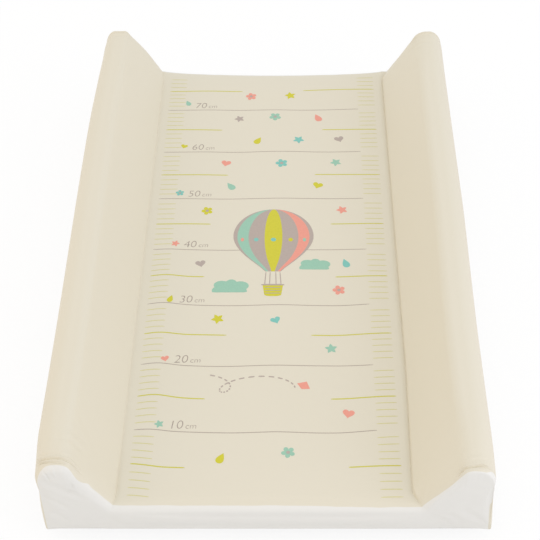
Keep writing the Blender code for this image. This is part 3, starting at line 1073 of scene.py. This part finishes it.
def add_patch(bm, across, along, shape, finish=0):
    """Adds a printed patch: a grid whose points shape(u, v) places, u and v running from 0 to 1."""
    made = bmesh.ops.create_grid(bm, x_segments=across, y_segments=along, size=0.5)["verts"]
    for vert in made:
        vert.co = (*shape(vert.co.x + 0.5, vert.co.y + 0.5), 0)
    for face in {face for vert in made for face in vert.link_faces}:
        face.material_index = finish
    bmesh.ops.remove_doubles(bm, verts=made, dist=0.00002)


def add_line(bm, route, width, steps, finish=0, taper=0.12):
    """Adds a drawn line along route(t), t from 0 to 1, thinner at both ends."""
    reach = 1.0 / steps

    def shape(u, v):
        here = Vector(route(u))
        ahead = Vector(route(min(1, u + reach))) - Vector(route(max(0, u - reach)))
        across = Vector((-ahead.y, ahead.x)).normalized()
        thick = width * (0.45 + 0.55 * ease(0, taper, u) * ease(0, taper, 1 - u))
        return here + across * thick * (v - 0.5)

    add_patch(bm, steps, 1, shape, finish)


def add_blob(bm, centre, outline, size, finish=0, rings=3, turns=40, turned=0.0):
    """Adds a closed shape round a centre; outline(angle) gives its edge for a size of 1."""
    turn = Matrix.Rotation(turned, 2)

    def shape(u, v):
        return Vector(centre) + turn @ Vector(outline(2 * math.pi * v)) * (size * u)

    add_patch(bm, rings, turns, shape, finish)


def lay_print(name, bm, film_tree, inks, height):
    """Lays flat print on the film and gives it a height over it."""
    grown = bmesh.ops.extrude_face_region(bm, geom=bm.faces[:])["geom"]
    for vert in only(bmesh.types.BMVert, grown):
        vert.co.z += height + PRINT_DEPTH
    for vert in bm.verts:
        hit = film_tree.ray_cast(Vector((vert.co.x, vert.co.y, 1)), Vector((0, 0, -1)))[0]
        vert.co.z += hit.z - PRINT_DEPTH
    bmesh.ops.recalc_face_normals(bm, faces=bm.faces)
    print_piece = new_object(name, bm)
    for ink in inks:
        print_piece.data.materials.append(ink)
    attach(print_piece, "root")


def film_tree():
    """The finished film as a tree to lay print on."""
    return BVHTree.FromObject(bpy.data.objects["cover_film_skin"], bpy.context.evaluated_depsgraph_get())


def ink(name, colour):
    return bpy.data.materials.get(name) or ink_material(name, colour)


def ruler_y(mark):
    """Place of a mark along the pad; near both ends the pulled film carries the print back a little."""
    carried = NEAR_CARRY * (1 - ease(0, 5, mark)) + FAR_CARRY * ease(65, 76, mark)
    return RULER_ZERO + RULER_STEP * mark - carried


def wobble(x, seed, size):
    """Uneven height of a hand-drawn line at x."""
    return size * noise.noise(Vector((x * 14, seed * 1.7, 0.5)))


def stretched(x, mark):
    """How far the film, pulled over the two creases, carries a mark of the ruler along the pad at x."""
    near = 1 - ease(7, 12, mark)
    far = ease(33, 45, mark)
    left = 0.0046 * (1 - near - far) * bell(x + 0.134, 0.022)
    left += 0.0044 * near * ease(-0.112, -0.155, x) - 0.0020 * bell(x + 0.05, 0.045)
    right = 0.0050 * ease(0.075, 0.150, x) - 0.0020 * ease(0, 0.06, x)
    right *= (0.5 + 0.5 * ease(4, 12, mark)) * (1 - 0.6 * ease(22, 45, mark))
    return left + right + 0.0042 * ease(65, 76, mark) * ease(0.02, 0.12, x)


def add_mark(bm, mark, start, end, width, steps, taper, unevenness, seed, tilt=0.0):
    """Adds a hand-drawn line of the ruler at a mark, from start to end along X."""
    y = ruler_y(mark)

    def route(t):
        x = start + (end - start) * t
        return (x, y + stretched(x, mark) + tilt * (t - 0.5) + wobble(x, seed, unevenness))

    add_line(bm, route, width, steps, taper=taper)


class PAD_OT_printed_ruler(bpy.types.Operator):
    """Prints the centimetre ruler on the film"""

    bl_idname = "pad.printed_ruler"
    bl_label = "Printed Ruler"

    def execute(self, context):
        colours = context.scene.pad_colours
        tree = film_tree()
        ticks = bmesh.new()
        halves = bmesh.new()
        tens = bmesh.new()
        for mark in range(1, RULER_LAST + 1):
            for side in SIDES:
                outer = side * TICK_OUTER[side]
                if mark % 5:
                    tilt = 0.0012 * noise.noise(Vector((side * 3.1, mark * 0.07, 0)))
                    add_mark(ticks, mark, outer, side * TICK_INNER[side], **TICK, seed=mark * 0.21, tilt=tilt)
                elif mark % 10:
                    add_mark(halves, mark, outer, side * HALF_LINE_ENDS[mark // 10], **HALF_LINE, seed=mark)
            if mark % 10 == 0:
                add_mark(tens, mark, -TICK_OUTER[LEFT], TICK_INNER[RIGHT], **TEN_LINE, seed=mark + 0.4)
        pale_lime = ink("Pale lime ink", colours.pale_lime)
        lime = ink("Lime line ink", colours.lime_line)
        mauve = ink("Mauve line ink", colours.mauve_line)
        lay_print("ruler_centimetre_ticks", ticks, tree, [pale_lime], LINE_HEIGHT)
        lay_print("ruler_five_centimetre_lines", halves, tree, [lime], LINE_HEIGHT)
        lay_print("ruler_ten_centimetre_lines", tens, tree, [mauve], LINE_HEIGHT)
        return {"FINISHED"}


def written(text, size, place):
    """Flat mesh of a plain text, its lower left corner at place."""
    curve = bpy.data.curves.new("Ruler number", "FONT")
    curve.body = text
    curve.size = size
    curve.shear = 0.12
    curve.offset = -size * 0.018
    holder = bpy.data.objects.new("Ruler number", curve)
    bpy.context.scene.collection.objects.link(holder)
    bpy.context.view_layer.update()
    mesh = bpy.data.meshes.new_from_object(holder.evaluated_get(bpy.context.evaluated_depsgraph_get()))
    bpy.data.objects.remove(holder)
    mesh.transform(Matrix.Translation((place[0], place[1], 0)))
    return mesh


def split_for_draping(bm, cell):
    """Cuts flat print into cells small enough to follow the film."""
    for axis in (0, 1):
        values = [vert.co[axis] for vert in bm.verts]
        place = math.floor(min(values) / cell) * cell + cell
        while place < max(values):
            normal = (1, 0, 0) if axis == 0 else (0, 1, 0)
            point = [place * part for part in normal]
            bmesh.ops.bisect_plane(bm, geom=everything(bm), plane_co=point, plane_no=normal)
            place += cell


class PAD_OT_ruler_numbers(bpy.types.Operator):
    """Prints plain numbers at every ten centimetres"""

    bl_idname = "pad.ruler_numbers"
    bl_label = "Ruler Numbers"

    def execute(self, context):
        colours = context.scene.pad_colours
        numbers = bmesh.new()
        for mark in range(10, RULER_LAST, 10):
            base = ruler_y(mark) + NUMBER_RISE
            numbers.from_mesh(written(str(mark), NUMBER_SIZE, (NUMBER_X, base)))
            numbers.from_mesh(written("cm", UNIT_SIZE, (UNIT_X, base)))
        bmesh.ops.remove_doubles(numbers, verts=numbers.verts, dist=0.00001)
        split_for_draping(numbers, 0.008)
        mauve = ink("Mauve line ink", colours.mauve_line)
        lay_print("ruler_numbers", numbers, film_tree(), [mauve], LINE_HEIGHT)
        return {"FINISHED"}


# Inks of the scattered pictures, in the order of the pieces' materials
MAUVE, LIME, MINT, CORAL, TEAL = range(5)

# Scattered small pictures: kind, x, y, size, turn in radians and ink
SCATTER = (
    ("star", -0.1250, -0.2830, 0.0052, 0.3, MINT),
    ("heart", -0.1250, -0.1830, 0.0050, 0.2, CORAL),
    ("drop", -0.1250, -0.0830, 0.0054, -0.3, LIME),
    ("star", -0.1250, 0.0170, 0.0052, 0.9, CORAL),
    ("flower", -0.1250, 0.1170, 0.0054, 0.1, TEAL),
    ("heart", -0.1250, 0.2170, 0.0050, -0.3, LIME),
    ("drop", -0.1250, 0.3170, 0.0054, 0.4, MINT),
    ("star", 0.0260, 0.3340, 0.0074, 0.2, LIME),
    ("flower", -0.0320, 0.3320, 0.0074, 0.2, CORAL),
    ("drop", 0.0660, 0.2820, 0.0074, 0.4, CORAL),
    ("flower", 0.0040, 0.2840, 0.0080, 0.6, MINT),
    ("star", -0.0480, 0.2790, 0.0066, 0.4, MAUVE),
    ("heart", 0.0960, 0.2330, 0.0070, 0.3, MAUVE),
    ("star", 0.0380, 0.2310, 0.0074, 0.7, TEAL),
    ("drop", -0.0200, 0.2290, 0.0070, -0.5, LIME),
    ("heart", -0.0640, 0.1790, 0.0070, -0.2, CORAL),
    ("flower", 0.0140, 0.1790, 0.0080, 0.3, TEAL),
    ("star", 0.0900, 0.1810, 0.0072, 0.5, MINT),
    ("drop", -0.0560, 0.1300, 0.0072, 0.6, MINT),
    ("heart", 0.0640, 0.1320, 0.0072, -0.3, LIME),
    ("star", 0.0960, 0.0820, 0.0070, 0.4, CORAL),
    ("flower", -0.0860, 0.0800, 0.0072, 0.4, LIME),
    ("drop", 0.0980, -0.0200, 0.0070, 0.3, TEAL),
    ("heart", -0.0900, -0.0210, 0.0068, 0.2, MAUVE),
    ("flower", 0.0880, -0.0690, 0.0076, 0.3, CORAL),
    ("star", -0.0640, -0.1190, 0.0074, 0.5, LIME),
    ("heart", 0.0080, -0.1210, 0.0064, 0.4, TEAL),
    ("star", 0.0760, -0.1680, 0.0070, 0.1, MINT),
    ("heart", 0.0940, -0.2680, 0.0072, -0.2, CORAL),
    ("flower", 0.0240, -0.3240, 0.0074, 0.5, MINT),
    ("drop", -0.0520, -0.3320, 0.0068, -0.4, LIME),
)


def star(angle):
    spike = 1 - abs(2 * (5 * angle / (2 * math.pi) % 1) - 1)
    radius = 1.12 - 0.58 * spike ** 0.8
    return (radius * math.sin(angle), radius * math.cos(angle))


def flower(angle):
    radius = 0.58 + 0.50 * abs(math.cos(2.5 * angle)) ** 0.7
    return (radius * math.sin(angle), radius * math.cos(angle))


def drop(angle):
    return (0.95 * math.sin(angle) * math.sin(angle / 2) ** 1.4, 1.15 * math.cos(angle))


def heart(angle):
    x = 16 * math.sin(angle) ** 3
    y = 13 * math.cos(angle) - 5 * math.cos(2 * angle) - 2 * math.cos(3 * angle) - math.cos(4 * angle)
    return (x / 16.5, y / 16.5)


def circle(angle):
    return (math.cos(angle), math.sin(angle))


def cloud(angle):
    puffs = 0.84 + 0.26 * abs(math.sin(3 * angle + 0.25)) ** 0.8
    reach = puffs / math.hypot(math.cos(angle) / 1.35, math.sin(angle) / 0.80)
    if math.sin(angle) < 0:
        reach = min(reach, -0.42 / math.sin(angle))
    return (reach * math.cos(angle), reach * math.sin(angle))


OUTLINES = {"star": star, "flower": flower, "drop": drop, "heart": heart}


def ink_set(colours):
    """The five inks of the pictures, in their order."""
    return [
        ink("Mauve-grey ink", colours.mauve), ink("Lime ink", colours.lime), ink("Mint ink", colours.mint),
        ink("Coral ink", colours.coral), ink("Teal ink", colours.teal),
    ]


class PAD_OT_scattered_pictures(bpy.types.Operator):
    """Prints small stars, hearts, flowers and drops between the ruler's lines"""

    bl_idname = "pad.scattered_pictures"
    bl_label = "Scattered Pictures"

    def execute(self, context):
        inks = ink_set(context.scene.pad_colours)
        tree = film_tree()
        pictures = bmesh.new()
        centres = bmesh.new()
        for kind, x, y, size, turned, finish in SCATTER:
            add_blob(pictures, (x, y), OUTLINES[kind], size, finish, turned=turned)
            if kind == "flower":
                add_blob(centres, (x, y), circle, size * 0.30, MAUVE, rings=1, turns=16)
        lay_print("scattered_pictures", pictures, tree, inks, PICTURE_HEIGHT)
        lay_print("flower_centres", centres, tree, inks, DETAIL_HEIGHT)
        return {"FINISHED"}


# Hot-air balloon printed in the middle, in metres
BALLOON = Vector((0.004, -0.036))
ENVELOPE_HEIGHT = 0.118
ENVELOPE_HALF_WIDTH = 0.053
MOUTH_HALF_WIDTH = 0.010
GORES = (MAUVE, MINT, MAUVE, LIME, MAUVE, CORAL, MAUVE)
MOUTH_SAG = 0.007
ROPE_SHARES = (-1.0, -0.4, 0.4, 1.0)
BASKET_TOP = 0.024
BASKET_HEIGHT = 0.020
BASKET_HALF_WIDTH = 0.0130
BASKET_TAPER = 0.0024
BASKET_SAG = 0.0022

# Lines across the basket, the last one its rim: half length, how far down, width and taper
BASKET_BARS = (
    (0.0108, 0.0052, 0.0012, 0.12), (0.0108, 0.0102, 0.0012, 0.12), (0.0108, 0.0150, 0.0012, 0.12),
    (0.0146, 0.0, 0.0026, 0.1),
)

# Row of dots round the envelope: its share of the height, the dots' size and their inks
DOT_SHARE = 0.50
DOT_SIZE = 0.0034
DOT_INKS = (CORAL, TEAL, TEAL, LIME, MINT)

# Clouds beside the balloon: x, y and size
CLOUDS = ((-0.050, -0.066, 0.0175), (0.058, -0.026, 0.0150))


def envelope_half_width(share):
    """Half the envelope's width at a share of its height above the mouth."""
    belly = 0.56
    if share > belly:
        return ENVELOPE_HALF_WIDTH * math.sqrt(max(0.0, 1 - ((share - belly) / (1 - belly)) ** 2))
    swell = math.sin(share / belly * math.pi / 2) ** 1.1
    return MOUTH_HALF_WIDTH + (ENVELOPE_HALF_WIDTH - MOUTH_HALF_WIDTH) * swell


def between(start, end):
    """Route of a straight line."""
    return lambda t: start.lerp(end, t)


class PAD_OT_balloon(bpy.types.Operator):
    """Prints a hot-air balloon between two clouds in the middle of the pad"""

    bl_idname = "pad.balloon"
    bl_label = "Balloon"

    def execute(self, context):
        inks = ink_set(context.scene.pad_colours)
        tree = film_tree()
        envelope = bmesh.new()
        for order, finish in enumerate(GORES):
            def gore(u, v, order=order):
                around = math.pi * ((order + u) / len(GORES) - 0.5)
                lift = math.sin(v * math.pi / 2)
                sag = MOUTH_SAG * math.cos(around) * (1 - lift) * ease(0, 0.3, lift)
                x = envelope_half_width(lift) * math.sin(around)
                return (BALLOON.x + x, BALLOON.y + ENVELOPE_HEIGHT * lift - sag)

            add_patch(envelope, 5, 26, gore, finish)
        lay_print("balloon_envelope", envelope, tree, inks, PICTURE_HEIGHT)

        rigging = bmesh.new()
        for share in ROPE_SHARES:
            top = BALLOON + Vector((share * MOUTH_HALF_WIDTH * 0.9, -0.001))
            low = BALLOON + Vector((share * 0.0105, -BASKET_TOP - 0.0005))
            add_line(rigging, between(top, low), 0.0011, 6, MAUVE, taper=0.01)

        def basket(u, v):
            half = BASKET_HALF_WIDTH - BASKET_TAPER * (1 - v)
            drop = BASKET_SAG * (1 - v) * (2 * u - 1) ** 4
            return (BALLOON.x + half * (2 * u - 1), BALLOON.y - BASKET_TOP - BASKET_HEIGHT * (1 - v) + drop)

        add_patch(rigging, 12, 8, basket, LIME)
        lay_print("balloon_basket", rigging, tree, inks, PICTURE_HEIGHT)

        details = bmesh.new()
        for half, below, width, taper in BASKET_BARS:
            left, right = (BALLOON + Vector((side * half, -BASKET_TOP - below)) for side in SIDES)
            add_line(details, between(left, right), width, 8, MAUVE, taper=taper)
        for place, finish in enumerate(DOT_INKS):
            around = math.pi * ((place + 1.5) / len(GORES) - 0.5)
            squash = max(math.cos(around), 0.35)
            x = envelope_half_width(DOT_SHARE) * math.sin(around)

            def dot(angle, squash=squash):
                return (squash * math.cos(angle), math.sin(angle))

            centre = BALLOON + Vector((x, ENVELOPE_HEIGHT * DOT_SHARE))
            add_blob(details, centre, dot, DOT_SIZE, finish)
        lay_print("balloon_details", details, tree, inks, DETAIL_HEIGHT)

        clouds = bmesh.new()
        for x, y, size in CLOUDS:
            add_blob(clouds, (x, y), cloud, size, MINT, rings=4, turns=64)
        lay_print("balloon_clouds", clouds, tree, inks, PICTURE_HEIGHT)
        return {"FINISHED"}


# Dashes of the flight path, the share of each step that its dash fills, and the kite at its end
DASHES = 22
DASH_SHARE = 0.62
KITE_HALF_LENGTH = 0.0085
KITE_WIDTH = 0.013
KITE_TURN = -0.5


class PAD_OT_flight_path(bpy.types.Operator):
    """Prints a dashed loop with a paper kite at its end"""

    bl_idname = "pad.flight_path"
    bl_label = "Flight Path"

    def execute(self, context):
        bm = bmesh.new()

        def path(t):
            x = -0.082 + 0.096 * t + 0.022 * math.sin(2 * math.pi * 1.25 * t + 0.6)
            y = -0.222 + 0.013 * math.cos(2 * math.pi * 1.25 * t + 0.4) - 0.004 * t
            return (x, y)

        for dash in range(DASHES):
            def route(t, dash=dash):
                return path((dash + DASH_SHARE * t) / DASHES)

            add_line(bm, route, 0.0017, 6, MAUVE, taper=0.15)
        tip = Vector(path(1.0)) + Vector((0.010, 0.004))

        def kite(u, v):
            across = KITE_HALF_LENGTH * (2 * u - 1)
            height = KITE_WIDTH * (v - 0.4) * (1 - abs(2 * u - 1))
            return tip + Matrix.Rotation(KITE_TURN, 2) @ Vector((across, height))

        add_patch(bm, 10, 6, kite, CORAL)
        inks = ink_set(context.scene.pad_colours)
        lay_print("dashed_flight_path", bm, film_tree(), inks, PICTURE_HEIGHT)
        return {"FINISHED"}


def seen_rays(tree):
    """1 for the camera's rays and for those of reflections and glass, 0 for the rays that light the pad."""
    path = add_node(tree, "LightPath")
    found = path.outputs["Is Camera Ray"]
    for kind in ("Is Glossy Ray", "Is Transmission Ray"):
        found = combine(tree, "MAXIMUM", found, path.outputs[kind])
    return found


def floor_material():
    """White floor that glows for the eye and stays a plain diffuse floor for the light."""
    made, tree, shader = new_material("Pale studio floor")
    tree.nodes.remove(shader)
    diffuse = add_node(tree, "BsdfDiffuse", Color=(0.80, 0.80, 0.80, 1))
    glow = add_node(tree, "Emission", Color=(1, 1, 1, 1), Strength=1.05)
    seen = add_node(tree, "MixShader", Fac=0.82)
    final = add_node(tree, "MixShader")
    tree.links.new(seen_rays(tree), final.inputs["Fac"])
    for mix, second in ((seen, glow), (final, seen)):
        tree.links.new(diffuse.outputs[0], mix.inputs[1])
        tree.links.new(second.outputs[0], mix.inputs[2])
    tree.links.new(final.outputs[0], tree.nodes["Material Output"].inputs["Surface"])
    return made


# Softboxes of the studio: name, place, power in watts and colour; they look at a point over the pad's middle
SOFTBOXES = (
    ("Key softbox", (2.1, -1.1, 1.1), 10.5, (0.92, 0.88, 1.0)),
    ("Fill softbox", (-2.1, -0.6, 1.0), 5, (1.0, 0.55, 0.10)),
)
SOFTBOX_SIZE = 1.6
SOFTBOX_AIM = Vector((0, 0, 0.05))

# Camera of the photo: its place, its sideways shift and its sensor's width in millimetres
CAMERA_PLACE = (0.0278, -1.2160, 1.2418)
CAMERA_SHIFT = -0.0398
SENSOR_WIDTH = 36
FLOOR_HALF_SIZE = 8.0


def add_softbox(scene, name, place, power, colour):
    light = bpy.data.lights.new(name, "AREA")
    light.shape = "DISK"
    light.size = SOFTBOX_SIZE
    light.energy = power
    light.color = colour
    lamp = bpy.data.objects.new(name, light)
    lamp.location = place
    lamp.rotation_euler = (SOFTBOX_AIM - Vector(place)).to_track_quat("-Z", "Y").to_euler()
    scene.collection.objects.link(lamp)


class PAD_OT_stage(bpy.types.Operator):
    """Adds the floor, the light and the camera at the photograph's angle"""

    bl_idname = "pad.stage"
    bl_label = "Studio"

    def execute(self, context):
        scene = context.scene
        bm = bmesh.new()
        bmesh.ops.create_grid(bm, x_segments=1, y_segments=1, size=FLOOR_HALF_SIZE)
        floor = new_object("studio_floor", bm)
        floor.data.materials.append(floor_material())

        world = bpy.data.worlds.new("Soft studio")
        world.use_nodes = True
        tree = world.node_tree
        background = tree.nodes["Background"]
        background.inputs["Color"].default_value = (1, 1, 1, 1)
        strength = add_node(tree, "MapRange", To_Min=0.91, To_Max=1.0)
        tree.links.new(seen_rays(tree), strength.inputs["Value"])
        tree.links.new(strength.outputs["Result"], background.inputs["Strength"])
        scene.world = world

        for softbox in SOFTBOXES:
            add_softbox(scene, *softbox)

        camera = bpy.data.objects.new("Photo camera", bpy.data.cameras.new("Photo camera"))
        camera.data.lens = scene.pad_stage.lens
        camera.data.sensor_width = SENSOR_WIDTH
        camera.data.shift_x = CAMERA_SHIFT
        camera.location = CAMERA_PLACE
        camera.rotation_euler = (scene.pad_stage.tilt, 0, 0)
        scene.collection.objects.link(camera)
        scene.camera = camera
        scene.view_settings.view_transform = "Standard"
        return {"FINISHED"}


class PAD_PT_panel(bpy.types.Panel):
    """Lists what builds the pad's look"""

    bl_idname = "PAD_PT_panel"
    bl_label = "Changing Pad"
    bl_space_type = "VIEW_3D"
    bl_region_type = "UI"
    bl_category = "Changing Pad"

    def draw(self, context):
        for operator in OPERATORS:
            self.layout.operator(operator.bl_idname)


GROUPS = {
    "pad_sizes": PadSizes, "film_cloth": FilmCloth, "pad_colours": PadColours, "pad_stage": StageSettings,
}
OPERATORS = (
    PAD_OT_cover_film, PAD_OT_foams, PAD_OT_backing_cloth, PAD_OT_board_and_battens, PAD_OT_fasteners,
    PAD_OT_printed_ruler, PAD_OT_ruler_numbers, PAD_OT_scattered_pictures, PAD_OT_balloon,
    PAD_OT_flight_path, PAD_OT_stage,
)


def register():
    for kind in (*GROUPS.values(), *OPERATORS, PAD_PT_panel):
        bpy.utils.register_class(kind)
    for name, kind in GROUPS.items():
        setattr(bpy.types.Scene, name, PointerProperty(type=kind))


def unregister():
    for name in GROUPS:
        delattr(bpy.types.Scene, name)
    for kind in (PAD_PT_panel, *OPERATORS, *GROUPS.values()):
        bpy.utils.unregister_class(kind)


def main():
    register()
    bpy.ops.pad.cover_film()
    bpy.ops.pad.foams()
    bpy.ops.pad.backing_cloth()
    bpy.ops.pad.board_and_battens()
    bpy.ops.pad.fasteners()
    bpy.ops.pad.printed_ruler()
    bpy.ops.pad.ruler_numbers()
    bpy.ops.pad.scattered_pictures()
    bpy.ops.pad.balloon()
    bpy.ops.pad.flight_path()
    bpy.ops.pad.stage()


if __name__ == "__main__":
    main()
